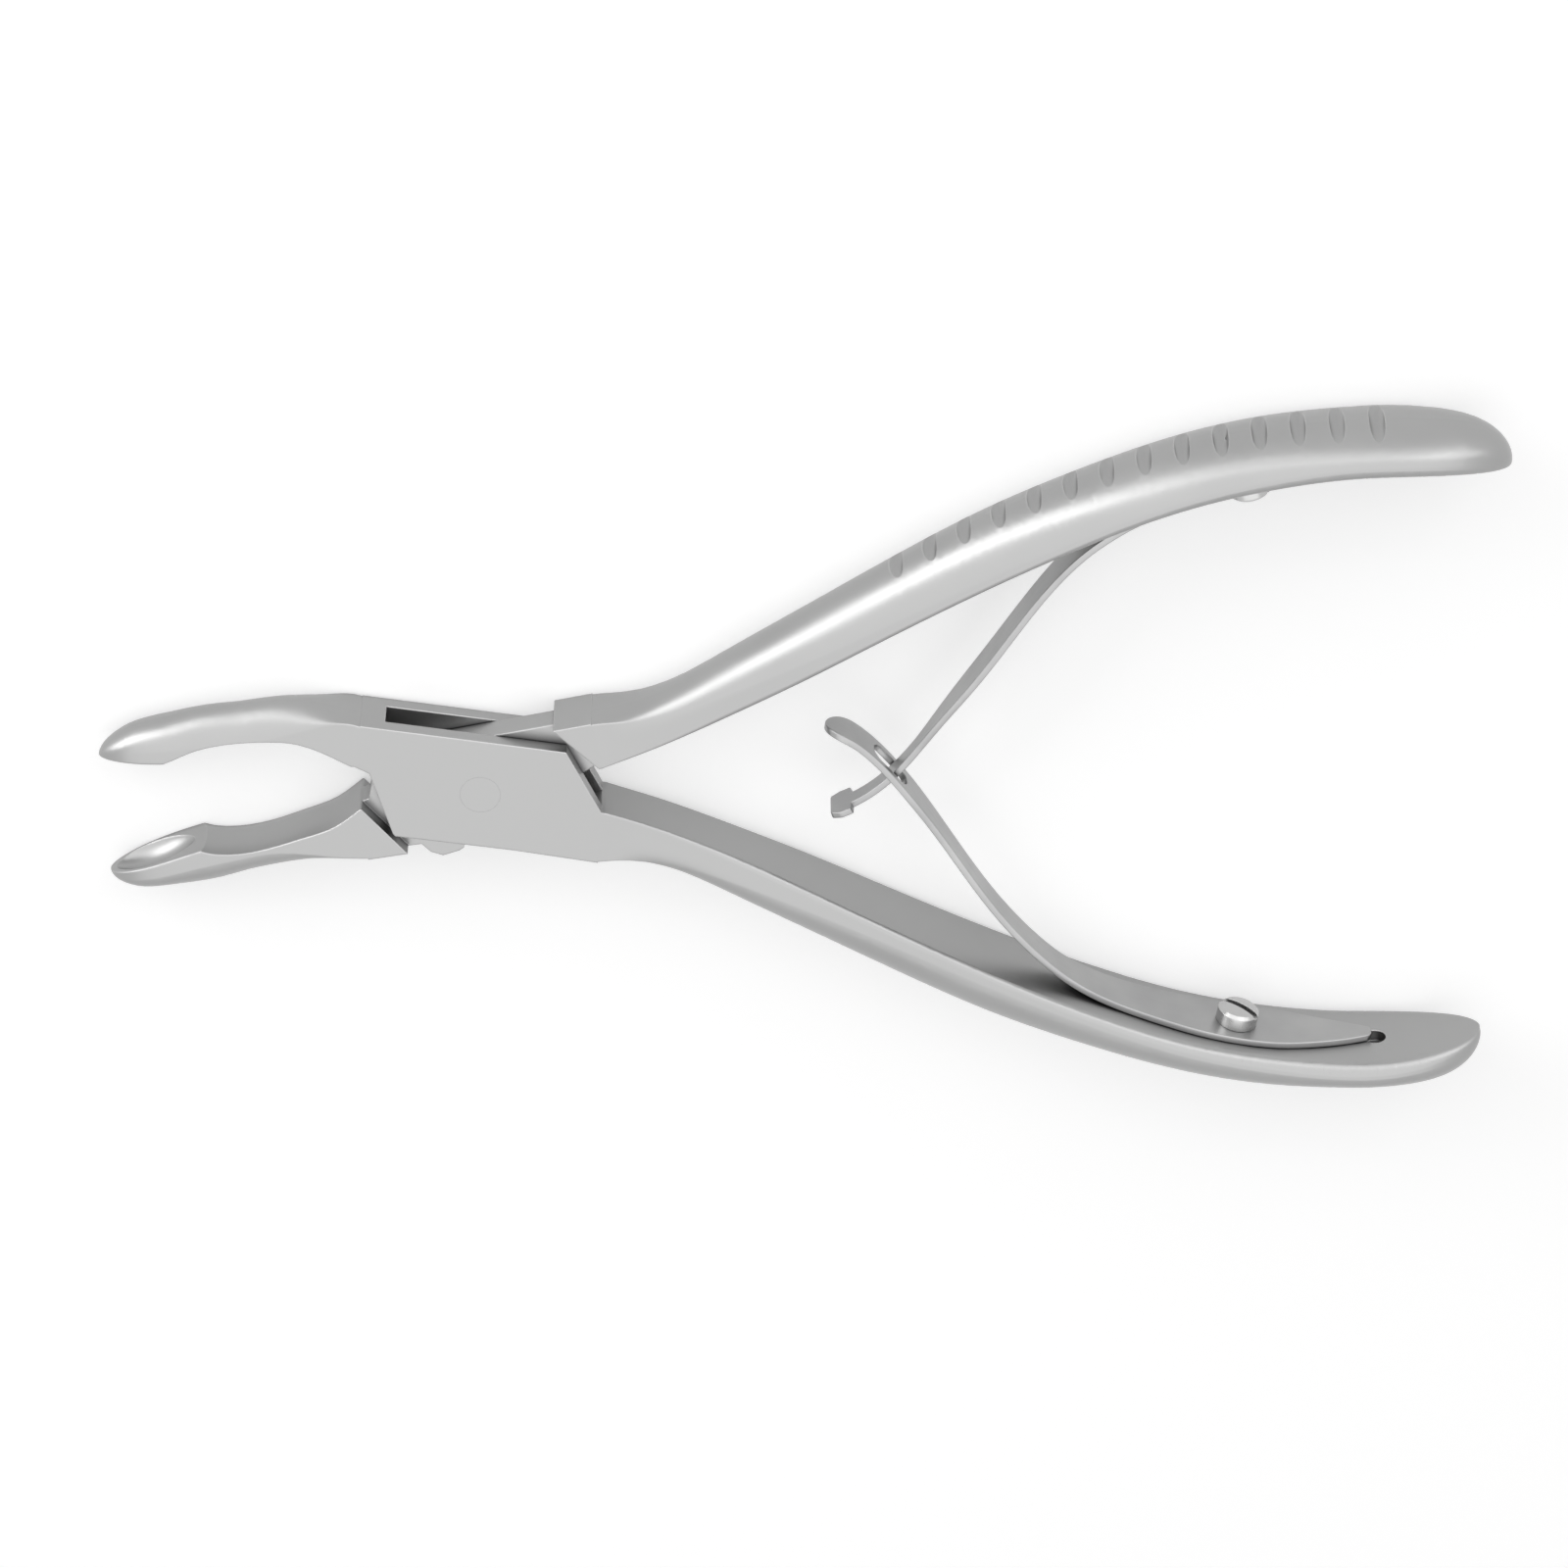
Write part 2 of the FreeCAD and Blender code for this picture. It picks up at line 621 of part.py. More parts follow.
def hook_arm():
    """Free arm of the upper leaf: a narrow neck and a cross head that passes through the fork."""
    path = leaf_path(male_arm_points, 1)
    root = male_arm_points[0]
    stations = [(root[0], hook_root_width), (62.5, 4.0), (57.0, hook_arm_width), (52.0, hook_arm_width)]
    stations += [(49.0, 3.5), (46.5, 2.8), (neck_start_x, neck_width)]
    blade = strip(path, stations)
    neck_xs = [neck_start_x + share * (neck_end_x - neck_start_x) for share in (0, 0.32, 0.63, 1)]
    neck = strip(path, [(x, neck_width) for x in neck_xs])
    head = strip(path, [(35.4, hook_width), (34.2, hook_width), (33.3, hook_width - 0.9)])
    return blade.fuse([neck, head, leaf_root(root, hook_root_width)])


def screw(screw_x, side):
    """Slotted cheese-head screw that clamps a leaf; its head stands on the leaf."""
    edge = screw_head_height - screw_head_dome
    shank_end = screw_end_room - screw_shank_length
    profile = [
        V(0, 0, shank_end),
        V(screw_shank_radius - screw_end_bevel, 0, shank_end),
        V(screw_shank_radius, 0, shank_end + screw_end_bevel),
        V(screw_shank_radius, 0, 0),
        V(screw_head_radius, 0, 0),
        V(screw_head_radius, 0, edge - screw_head_bevel),
        V(screw_head_radius - screw_head_bevel, 0, edge),
    ]
    edges = [Part.makeLine(a, b) for a, b in zip(profile, profile[1:])]
    top = V(0, 0, screw_head_height)
    middle = V(screw_head_radius * 0.5, 0, edge + screw_head_dome * 0.72)
    edges.append(Part.Arc(profile[-1], middle, top).toShape())
    edges.append(Part.makeLine(top, profile[0]))
    body = Part.Face(Part.Wire(edges)).revolve(origin_point, z_axis, 360)
    slot_corner = V(-screw_head_radius * 1.5, -screw_slot_width / 2, screw_head_height - screw_slot_depth)
    slot = Part.makeBox(screw_head_radius * 3, screw_slot_width, screw_slot_depth + 1, slot_corner)
    slot.rotate(origin_point, z_axis, screw_slot_angle * side)
    body = body.cut(slot)
    point, along, outward = face_frame(screw_x)
    seat = point - outward * (leaf_seat_gap + leaf_thickness + screw_seat_gap)
    if side < 0:
        seat, outward = V(seat.x, -seat.y, 0), V(outward.x, -outward.y, 0)
    body.Placement = FreeCAD.Placement(seat, FreeCAD.Rotation(z_axis, outward * -1))
    return body


def female_foot():
    return leaf_foot(leaf_path(female_arm_points, -1), female_arm_points, fork_root_width, female_screw_x, -1)


def male_foot():
    return leaf_foot(leaf_path(male_arm_points, 1), male_arm_points, hook_root_width, male_screw_x, 1)


def placed(shape, angle):
    """Opened about the pivot and lifted so that the lower cheek lies on the XY plane."""
    result = shape.copy()
    result.rotate(origin_point, z_axis, angle)
    result.translate(V(0, 0, half_thickness))
    return result


sub_parts = {
    "female_half": (female_half, -half_opening),
    "male_half": (male_half, half_opening),
    "pivot_pin": (pivot_pin, -half_opening),
    "lower_spring_foot": (female_foot, -half_opening),
    "lower_spring_arm": (fork_arm, -half_opening),
    "upper_spring_foot": (male_foot, half_opening),
    "upper_spring_arm": (hook_arm, half_opening),
    "lower_spring_screw": (lambda: screw(female_screw_x, -1), -half_opening),
    "upper_spring_screw": (lambda: screw(male_screw_x, 1), half_opening),
}

os.makedirs("parts", exist_ok=True)
for name, (make, angle) in sub_parts.items():
    shape = placed(make(), angle)
    box = shape.BoundBox
    print(name, "valid", shape.isValid(), "solids", len(shape.Solids), "volume", round(shape.Volume, 2),
          "x", round(box.XMin, 2), round(box.XMax, 2), "y", round(box.YMin, 2), round(box.YMax, 2),
          "z", round(box.ZMin, 2), round(box.ZMax, 2))
    shape.exportStep("parts/" + name + ".step")
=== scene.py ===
# %% [markdown]
# # A bone rongeur
#
# A rongeur nibbles bone. Two halves cross in a box lock: one half has a slot, and the
# other half's flat tongue passes through it. Each half ends in a small cupped jaw at one
# side and a long handle at the other. Two leaf springs hook into each other and push the
# handles apart. Everything is stainless steel, so this lesson is mostly about one metal:
# how its shape is lit, how fine its grain is, and where hands and grinding polished it.
#
# The solids come from a CAD model, and the first cell loads them in metres.

import bmesh
import bpy
import numpy as np
from mathutils import Matrix, Vector


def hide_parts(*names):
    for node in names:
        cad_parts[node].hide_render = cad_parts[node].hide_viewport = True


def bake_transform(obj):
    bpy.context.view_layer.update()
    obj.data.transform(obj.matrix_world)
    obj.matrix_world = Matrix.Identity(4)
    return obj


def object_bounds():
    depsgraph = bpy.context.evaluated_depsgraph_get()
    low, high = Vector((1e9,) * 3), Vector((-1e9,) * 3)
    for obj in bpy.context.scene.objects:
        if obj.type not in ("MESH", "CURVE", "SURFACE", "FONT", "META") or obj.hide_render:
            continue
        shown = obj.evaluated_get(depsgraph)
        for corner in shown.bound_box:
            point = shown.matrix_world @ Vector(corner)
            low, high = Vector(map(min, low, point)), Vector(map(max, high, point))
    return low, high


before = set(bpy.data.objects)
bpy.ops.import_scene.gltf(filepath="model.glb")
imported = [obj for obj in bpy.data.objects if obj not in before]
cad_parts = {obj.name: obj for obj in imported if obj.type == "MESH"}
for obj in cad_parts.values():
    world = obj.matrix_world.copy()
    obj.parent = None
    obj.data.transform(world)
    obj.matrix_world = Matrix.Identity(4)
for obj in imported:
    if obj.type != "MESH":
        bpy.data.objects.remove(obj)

mm = 0.001
cad_low, cad_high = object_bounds()
print("model from", [round(v / mm, 1) for v in cad_low], "to", [round(v / mm, 1) for v in cad_high], "mm")

# %% [markdown]
# ## The table
#
# The instrument lies on its side. Its handles are wider than the box lock, so on a table
# it rests on the handles' sides and on the jaw end of the box, a little tilted. The model
# stays where the CAD has it, and the table is tilted under it instead. Seen from the
# side, the lowest points of the instrument form a chain like a hanging string, and the
# table is the link of that chain under the middle of the instrument. That is how a
# physicist would find it, and it saves guessing an angle.

# %% Lay a table under the instrument
def resting_link(nodes, middle_x):
    """The two points in side view between which the table touches the instrument."""
    points = sorted({(v.co.x, v.co.z) for node in nodes for v in node.data.vertices})
    chain = []
    for x, z in points:
        while len(chain) > 1:
            (x0, z0), (x1, z1) = chain[-2:]
            if (x1 - x0) * (z - z0) > (z1 - z0) * (x - x0):
                break
            chain.pop()
        chain.append((x, z))
    return next((a, b) for a, b in zip(chain, chain[1:]) if a[0] <= middle_x <= b[0])


middle = (cad_low + cad_high) / 2
(front_x, front_z), (rear_x, rear_z) = resting_link(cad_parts.values(), middle.x)
table_slope = (rear_z - front_z) / (rear_x - front_x)
table_clearance = 0.02 * mm
table_reach = 4.0

table_corners = [(x * table_reach, y * table_reach) for x, y in ((-1, -1), (1, -1), (1, 1), (-1, 1))]
table_points = [(x, y, front_z + (x - front_x) * table_slope - table_clearance) for x, y in table_corners]
table_mesh = bpy.data.meshes.new("table")
table_mesh.from_pydata(table_points, [], [(0, 1, 2, 3)])
table = bpy.data.objects.new("table", table_mesh)
bpy.context.scene.collection.objects.link(table)
print("table touches at x", round(front_x / mm, 1), "and", round(rear_x / mm, 1), "mm")

# %% [markdown]
# ## Camera
#
# The picture to match was taken with a long lens from 32 degrees off the vertical. The
# place of the camera was found by lining up the pivot, the jaw tips and the handle ends.
# Its three axes are written down instead of angles, because a camera is easier to check
# as "this way is right, this way is up".

# %% Place the camera
camera_place = Vector((43.600, 390.266, 630.506)) * mm
camera_right = Vector((0.99939, -0.03490, 0.0))
camera_up = Vector((0.02960, 0.84753, -0.52992))
camera_lens = 171.66

camera_data = bpy.data.cameras.new("camera")
camera_data.lens = camera_lens
camera_data.sensor_width = 36.0
camera_data.clip_start = 0.01
camera_data.clip_end = 50.0
camera = bpy.data.objects.new("camera", camera_data)
bpy.context.scene.collection.objects.link(camera)
camera_back = camera_right.cross(camera_up).normalized()
turn = Matrix((camera_right, camera_up, camera_back)).transposed().to_4x4()
camera.matrix_world = Matrix.Translation(camera_place) @ turn
bpy.context.scene.camera = camera
print("camera looks down at", round((middle - camera_place).length, 3), "m from the middle")

# %% [markdown]
# ## Light
#
# Metal has no colour of its own to show: it shows the room. So the room is plain and
# bright. A very large soft lamp hangs over the instrument like a white ceiling, and the
# flat sides of the steel show that. Three more lamps stand low on the camera's side, at the
# left, in front and at the right. A crowned handle turns its normal from the ceiling to the
# floor, and somewhere on the way it meets one of these low lamps. That is where the long
# highlight comes from. The handle's neck faces left, so the left lamp is the strongest.
#
# The world is white where a camera or a polished surface looks at it, and softer as a
# source of light, so that the white background doesn't wash out the steel.

# %% Hang the lamps
def soft_lamp(name, place, width, height, power):
    """A rectangular lamp that faces the middle of the instrument."""
    data = bpy.data.lights.new(name, "AREA")
    data.shape = "RECTANGLE"
    data.size, data.size_y = width, height
    data.energy = power
    lamp = bpy.data.objects.new(name, data)
    lamp.location = place
    lamp.rotation_euler = (middle - Vector(place)).to_track_quat("-Z", "Y").to_euler()
    bpy.context.scene.collection.objects.link(lamp)
    return lamp


# name, place, width, height, power
studio_lamps = [
    ("lamp_over", (0.03, 0.10, 0.90), 1.8, 2.2, 8.1),
    ("lamp_front", (0.05, 0.80, 0.30), 1.1, 0.54, 1.45),
    ("lamp_left", (-0.69, 0.54, 0.28), 0.8, 0.50, 3.7),
    ("lamp_right", (0.64, 0.58, 0.42), 0.6, 0.50, 0.9),
]
for lamp_settings in studio_lamps:
    soft_lamp(*lamp_settings)

# %% [markdown]
# ### A world with two levels
#
# The Light Path node tells the shader what kind of ray is looking. A ray from the camera,
# or one reflected by steel, gets full white. A ray that only gathers light for a matt
# surface gets the softer level.

# %% Paint the world white
def seen_directly(tree):
    """1 where the ray comes from the camera, a gloss or glass, 0 where it gathers light."""
    path = tree.nodes.new("ShaderNodeLightPath")
    seen = path.outputs["Is Camera Ray"]
    for kind in ("Is Glossy Ray", "Is Transmission Ray"):
        either = tree.nodes.new("ShaderNodeMath")
        either.operation = "MAXIMUM"
        tree.links.new(seen, either.inputs[0])
        tree.links.new(path.outputs[kind], either.inputs[1])
        seen = either.outputs[0]
    return seen


world = bpy.data.worlds.new("studio")
bpy.context.scene.world = world
world.use_nodes = True
world_tree = world.node_tree
background = world_tree.nodes["Background"]
background.inputs["Color"].default_value = (1, 1, 1, 1)
world_ambient = 0.20
world_level = world_tree.nodes.new("ShaderNodeMapRange")
world_level.inputs["To Min"].default_value = world_ambient
world_level.inputs["To Max"].default_value = 1.0
world_tree.links.new(seen_directly(world_tree), world_level.inputs["Value"])
world_tree.links.new(world_level.outputs[0], background.inputs["Strength"])
bpy.context.scene.view_settings.view_transform = "Standard"
print("world at", world_ambient, "as a lamp and 1.0 as a background")

# %% [markdown]
# ## The table's finish
#
# The background is white paper. Part of its white is its own glow, seen only directly,
# and the rest is ordinary matt reflection of the lamps. The glow keeps the paper white,
# and the matt part keeps the soft shadow under the steel. Without that shadow the
# instrument would float.

# %% Finish the table as white paper
paper_glow = 0.48
paper_colour = (0.70, 0.70, 0.70, 1)

paper = bpy.data.materials.new("white_paper")
paper.use_nodes = True
paper_tree = paper.node_tree
paper_shader = paper_tree.nodes["Principled BSDF"]
paper_shader.inputs["Base Color"].default_value = paper_colour
paper_shader.inputs["Roughness"].default_value = 0.9
paper_shader.inputs["Specular IOR Level"].default_value = 0.1
paper_shader.inputs["Emission Color"].default_value = (1, 1, 1, 1)
glow_level = paper_tree.nodes.new("ShaderNodeMapRange")
glow_level.inputs["To Max"].default_value = paper_glow
paper_tree.links.new(seen_directly(paper_tree), glow_level.inputs["Value"])
paper_tree.links.new(glow_level.outputs[0], paper_shader.inputs["Emission Strength"])
table_mesh.materials.append(paper)
print("paper glows at", paper_glow)

# %% [markdown]
# ## Satin steel
#
# After grinding, both halves were blasted with fine glass beads and lightly brushed. That
# leaves a dense grain of shallow dimples, a tenth of a millimetre and less, which turns
# the mirror into satin. Edges were rubbed by cloth and hands and are smoother, and their
# colour is painted lighter as a painted highlight. Deep corners are painted darker as painted shade.
#
# The finish is built from these parts. Two noises of different size make the grain as
# bump. A slow noise changes the roughness by a few percent, as handling does. For the
# edges, the shader compares the surface's normal with one rounded over a fifth of a
# millimetre: where the two differ there is an edge, and it is smoother and painted brighter,
# a painted highlight. The same rounded normal also takes the knife-sharp look off the CAD's
# edges. Ambient occlusion over less than a millimetre finds the grooves and corners and
# paints them darker: painted shade.

# %% Helpers for the steel finishes
def add_node(tree, kind, settings=None, **inputs):
    """A new node; settings are its properties, inputs its sockets by name with _ for space."""
    made = tree.nodes.new(kind)
    for name, value in (settings or {}).items():
        setattr(made, name, value)
    for name, value in inputs.items():
        made.inputs[name.replace("_", " ")].default_value = value
    return made


def noise(tree, place, scale, detail=2.0, roughness=0.5):
    made = add_node(tree, "ShaderNodeTexNoise", Scale=scale, Detail=detail, Roughness=roughness)
    tree.links.new(place, made.inputs["Vector"])
    return made.outputs["Fac"]


def spread(tree, value, low, high, from_low=0.0, from_high=1.0):
    """Maps a value from one range to another and stops at its ends."""
    made = tree.nodes.new("ShaderNodeMapRange")
    made.inputs["From Min"].default_value = from_low
    made.inputs["From Max"].default_value = from_high
    made.inputs["To Min"].default_value = low
    made.inputs["To Max"].default_value = high
    tree.links.new(value, made.inputs["Value"])
    return made.outputs[0]


def calculate(tree, operation, first, second):
    """A Math node of two values, each a socket or a number."""
    made = add_node(tree, "ShaderNodeMath", {"operation": operation})
    for socket, value in zip(made.inputs, (first, second)):
        if isinstance(value, (int, float)):
            socket.default_value = value
        else:
            tree.links.new(value, socket)
    return made.outputs[0]


def bump(tree, height, distance, strength, normal=None):
    made = add_node(tree, "ShaderNodeBump", Strength=strength, Distance=distance)
    tree.links.new(height, made.inputs["Height"])
    if normal is not None:
        tree.links.new(normal, made.inputs["Normal"])
    return made.outputs["Normal"]


def grey_mix(tree, factor, dark, light):
    """A grey between two others, each a colour or a socket, chosen by a factor."""
    made = add_node(tree, "ShaderNodeMix", {"data_type": "RGBA"})
    tree.links.new(factor, made.inputs["Factor"])
    ends = [socket for socket in made.inputs if socket.type == "RGBA"]
    for socket, grey in zip(ends, (dark, light)):
        if isinstance(grey, tuple):
            socket.default_value = grey
        else:
            tree.links.new(grey, socket)
    return next(socket for socket in made.outputs if socket.type == "RGBA")


def steel(name):
    """A new metal material, its node tree and its shader."""
    material = bpy.data.materials.new(name)
    material.use_nodes = True
    shader = material.node_tree.nodes["Principled BSDF"]
    shader.inputs["Metallic"].default_value = 1.0
    return material, material.node_tree, shader


def edge_share(tree, radius):
    """1 on edges and corners, 0 on flat and gently curved faces, and the rounded normal."""
    rounded = add_node(tree, "ShaderNodeBevel", {"samples": 6}, Radius=radius)
    surface = tree.nodes.new("ShaderNodeNewGeometry")
    likeness = add_node(tree, "ShaderNodeVectorMath", {"operation": "DOT_PRODUCT"})
    tree.links.new(rounded.outputs["Normal"], likeness.inputs[0])
    tree.links.new(surface.outputs["Normal"], likeness.inputs[1])
    return spread(tree, likeness.outputs["Value"], 1.0, 0.0, 0.80, 0.995), rounded.outputs["Normal"]


print("steel helpers ready")

# %% [markdown]
# ### Where hands and wheels left their mark
#
# Two things depend on the place on the instrument. The pin was riveted and then ground
# flush with the cheek, so its joint hardly shows, and no edge is rounded there. And the
# outer side of each handle, between the box lock and the grooves, was rounded by hand on
# a soft wheel, which carries the crown's shine far over to the side. Both are masks made
# of the model's own coordinates. They mix the sharp, the slightly rounded and the widely
# rounded normal. The inner faces keep their crisp edges, because the springs lie there.

# %% Masks for the flush pin and the rounded shoulders
def near_pivot(tree, place, radius):
    """1 within a radius of the pivot's axis, which is the model's own Z axis, and 0 beyond it."""
    across = add_node(tree, "ShaderNodeVectorMath", {"operation": "MULTIPLY"})
    across.inputs[1].default_value = (1, 1, 0)
    tree.links.new(place, across.inputs[0])
    length = add_node(tree, "ShaderNodeVectorMath", {"operation": "LENGTH"})
    tree.links.new(across.outputs["Vector"], length.inputs[0])
    return calculate(tree, "LESS_THAN", length.outputs["Value"], radius)


handle_yaw = np.radians(28.6)
inner_edge_point = (20.1, 5.8)
inner_edge_rise = inner_edge_point[1] * np.cos(handle_yaw) - inner_edge_point[0] * np.sin(handle_yaw)


def outer_shoulder(tree, place):
    """1 along the outer side of both handles between the box lock and the grooves, else 0."""
    parts = tree.nodes.new("ShaderNodeSeparateXYZ")
    tree.links.new(place, parts.inputs[0])
    x, y = parts.outputs["X"], calculate(tree, "ABSOLUTE", parts.outputs["Y"], 0.0)
    back = calculate(tree, "MULTIPLY", x, float(np.sin(handle_yaw)))
    rise = calculate(tree, "SUBTRACT", calculate(tree, "MULTIPLY", y, float(np.cos(handle_yaw))), back)
    outside = spread(tree, rise, 0.0, 1.0, (inner_edge_rise + 1.5) * mm, (inner_edge_rise + 3.5) * mm)
    behind_box = spread(tree, x, 0.0, 1.0, 13 * mm, 20 * mm)
    before_grooves = spread(tree, x, 1.0, 0.0, 37 * mm, 43 * mm)
    return calculate(tree, "MULTIPLY", outside, calculate(tree, "MULTIPLY", behind_box, before_grooves))


def normal_mix(tree, share, first, second):
    """The first normal where the share is 0 and the second one where it is 1."""
    made = add_node(tree, "ShaderNodeMix", {"data_type": "VECTOR"})
    tree.links.new(share, made.inputs["Factor"])
    ends = [socket for socket in made.inputs if socket.type == "VECTOR" and socket.enabled]
    tree.links.new(first, ends[0])
    tree.links.new(second, ends[1])
    return next(socket for socket in made.outputs if socket.type == "VECTOR")


print("inner edge of a handle rises from", round(float(inner_edge_rise), 2), "mm")

# %% Finish of the two halves
# The dark grey is painted shade, laid into grooves and corners by ambient occlusion.
satin_painted_shade = (0.14, 0.14, 0.142, 1)
satin_light = (0.37, 0.37, 0.369, 1)
# The pale edge grey is a painted highlight on the edges.
painted_edge_highlight = (0.55, 0.55, 0.548, 1)

satin, tree, shader = steel("satin_steel")
place = tree.nodes.new("ShaderNodeTexCoord").outputs["Object"]
bead_dimples = noise(tree, place, 5200, 3.0, 0.6)
brush_place = add_node(tree, "ShaderNodeMapping", {"vector_type": "POINT"}, Scale=(350, 6500, 6500))
tree.links.new(place, brush_place.inputs["Vector"])
brush_lines = noise(tree, brush_place.outputs[0], 1.0, 2.0)
handling = noise(tree, place, 95, 4.0)
edges, soft_normal = edge_share(tree, 0.22 * mm)

flush_radius = 2.6 * mm
flush = near_pivot(tree, place, flush_radius)
bare_normal = tree.nodes.new("ShaderNodeNewGeometry").outputs["Normal"]
soft_normal = normal_mix(tree, flush, soft_normal, bare_normal)
edges = calculate(tree, "MULTIPLY", edges, calculate(tree, "SUBTRACT", 1.0, flush))

round_radius = 2.6 * mm
round_normal = add_node(tree, "ShaderNodeBevel", {"samples": 12}, Radius=round_radius).outputs["Normal"]
soft_normal = normal_mix(tree, outer_shoulder(tree, place), soft_normal, round_normal)

# Ambient occlusion paints grooves and corners darker: painted shade. The slow noise adds a random tone.
crevice = add_node(tree, "ShaderNodeAmbientOcclusion", {"samples": 6}, Distance=0.9 * mm)
painted_shade_and_tone = calculate(tree, "MULTIPLY", spread(tree, crevice.outputs["AO"], 0.0, 1.0, 0.42, 0.90),
                     spread(tree, handling, 0.92, 1.0, 0.3, 0.7))
satin_with_painted_shade = grey_mix(tree, painted_shade_and_tone, satin_painted_shade, satin_light)
# Edges are painted lighter here, as a painted highlight. Their real smoothness is in the roughness below.
painted_edge_highlight_share = calculate(tree, "MULTIPLY", edges, painted_shade_and_tone)
tree.links.new(grey_mix(tree, painted_edge_highlight_share, satin_with_painted_shade, painted_edge_highlight), shader.inputs["Base Color"])

satin_roughness = spread(tree, handling, 0.31, 0.40, 0.3, 0.7)
polish = calculate(tree, "MULTIPLY", edges, 0.12)
tree.links.new(calculate(tree, "SUBTRACT", satin_roughness, polish), shader.inputs["Roughness"])
grain = bump(tree, bead_dimples, 0.006 * mm, 0.45, soft_normal)
tree.links.new(bump(tree, brush_lines, 0.003 * mm, 0.35, grain), shader.inputs["Normal"])

for name in ("female_half", "male_half", "pivot_pin"):
    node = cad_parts[name]
    node.data.materials.clear()
    node.data.materials.append(satin)
print("satin steel on both halves and the pin")

# %% [markdown]
# ## Leaf springs
#
# A leaf spring is cut flat from spring steel strip, with its screw hole and, on the lower
# leaf, a slot near the rounded end. Then it is bent to shape and hardened. The lesson
# does the same. The outline and its holes are drawn flat as curves, which Blender fills,
# thickens and bevels in one go. The blank is sliced across every half millimetre, so that
# it can bend, and then each of its points is moved to the leaf's own line.
#
# That line comes from the CAD: the leaf lies along the handle's inner face, lifts off and
# crosses to the other leaf. The curve through the points has continuous curvature, like a
# bent strip, which a chain of arcs hasn't.

# %% A smooth line through points
class SmoothLine:
    """A plan curve with continuous curvature through the given points."""

    def __init__(self, points):
        self.points = np.array(points, float)
        steps = np.linalg.norm(np.diff(self.points, axis=0), axis=1)
        self.at = np.concatenate([[0], np.cumsum(steps)])
        count = len(self.points)
        matrix = np.zeros((count, count))
        right = np.zeros_like(self.points)
        matrix[0, 0] = matrix[-1, -1] = 1
        right[0] = self.end_slope(slice(0, 4), self.at[0])
        right[-1] = self.end_slope(slice(count - 4, count), self.at[-1])
        for i in range(1, count - 1):
            before, after = steps[i - 1], steps[i]
            matrix[i, i - 1:i + 2] = after, 2 * (before + after), before
            rise_before = (self.points[i] - self.points[i - 1]) / before
            rise_after = (self.points[i + 1] - self.points[i]) / after
            right[i] = 3 * (after * rise_before + before * rise_after)
        self.slopes = np.linalg.solve(matrix, right)

    def end_slope(self, four, where):
        """Slope at an end of the cubic through the four points there."""
        return [np.polyval(np.polyder(np.polyfit(self.at[four], self.points[four, axis], 3)), where)
                for axis in (0, 1)]

    def value(self, at):
        """Points and unit directions at the given lengths along the points' chain."""
        at = np.atleast_1d(np.asarray(at, float))
        i = np.clip(np.searchsorted(self.at, at, side="right") - 1, 0, len(self.at) - 2)
        step = (self.at[i + 1] - self.at[i])[:, None]
        u = (at - self.at[i])[:, None] / step
        a, b = self.points[i], self.points[i + 1]
        m, n = self.slopes[i] * step, self.slopes[i + 1] * step
        place = a + u * m + u * u * (3 * (b - a) - 2 * m - n) + u ** 3 * (2 * (a - b) + m + n)
        way = (m + 2 * u * (3 * (b - a) - 2 * m - n) + 3 * u * u * (2 * (a - b) + m + n)) / step
        return place, way / np.linalg.norm(way, axis=1)[:, None]

    def at_x(self, x):
        """Where a line that runs steadily along X reaches x."""
        tries = np.linspace(self.at[0], self.at[-1], 4000)
        xs = self.value(tries)[0][:, 0]
        order = np.argsort(xs)
        return np.interp(x, xs[order], tries[order])


test_line = SmoothLine([(0, 0), (1, 0), (2, 0), (4, 0)])
print("a straight test line is", round(float(test_line.at[-1]), 3), "long")

# %% The line of each leaf, closed plan in millimetres
handle_face_points = [(12.5, 0.45), (20.8, 2.25), (33.0, 6.1), (45.5, 10.6), (56.0, 14.1),
                      (68.3, 17.3), (76.5, 18.55), (84.0, 18.75), (92.3, 18.05), (100.0, 16.3),
                      (106.0, 14.3)]
fork_arm_points = [(60.3, -13.9), (57.8, -12.15), (53.15, -8.0), (48.3, -2.5), (43.5, 3.2),
                   (40.28, 6.57), (37.5, 9.0), (35.3, 10.35), (32.7, 10.9)]
hook_arm_points = [(66.8, 15.5), (63.5, 13.8), (60.2, 11.4), (55.6, 7.1), (50.7, 2.2),
                   (45.9, -2.35), (40.1, -7.61), (36.6, -9.6), (32.9, -10.5)]
leaf_tip_x = 92.7
lying_xs = (leaf_tip_x, 91.0, 87.0, 83.0, 79.5, 75.0, 71.0)
lying_clear_of_root = 8.0
leaf_thickness = 0.7
leaf_seat_gap = 0.05
half_opening = 10.0
pivot_height = 2.95

handle_face = SmoothLine(handle_face_points)


def face_place(x):
    """A point on the upper handle's inner face and the way out of the handle's back."""
    point, way = handle_face.value(handle_face.at_x(x))
    return point[0], np.array([-way[0][1], way[0][0]])


def leaf_line(arm_points, side):
    """Centre line of a whole leaf; side is 1 on the upper handle and -1 on the lower one."""
    lying = []
    for x in lying_xs:
        if x > arm_points[0][0] + lying_clear_of_root:
            point, outward = face_place(x)
            centre = point - outward * (leaf_seat_gap + leaf_thickness / 2)
            lying.append((centre[0], side * centre[1]))
    return SmoothLine(lying + arm_points)


lower_line = leaf_line(fork_arm_points, -1)
upper_line = leaf_line(hook_arm_points, 1)
print("leaf lengths", round(lower_line.at[-1], 1), "and", round(upper_line.at[-1], 1), "mm")

